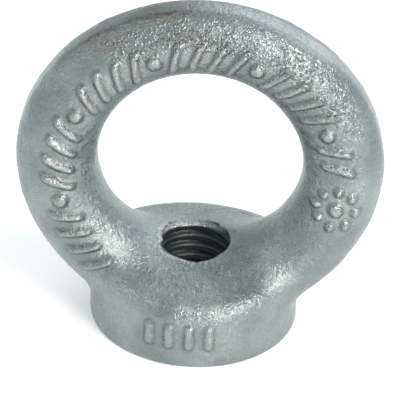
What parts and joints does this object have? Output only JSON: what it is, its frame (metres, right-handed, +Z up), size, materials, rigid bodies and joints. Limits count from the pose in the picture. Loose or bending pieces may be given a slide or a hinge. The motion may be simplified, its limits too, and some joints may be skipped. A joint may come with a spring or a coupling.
{
  "type": "lifting eye nut",
  "caption": "Forged steel nut with a tapped round boss and a lifting eye standing over it.",
  "frame": {"origin": "centre of the seat, the flat face that the nut stands on", "axes": "+Z up along the thread axis through the eye's top, X across the eye, Y through the eye"},
  "size_m": [0.045, 0.026, 0.0441],
  "materials": {
    "zinc_plate": "satin zinc plating over a forged skin"
  },
  "bodies": {
    "root": {"eye_nut": "zinc_plate"}
  },
  "joints": []
}
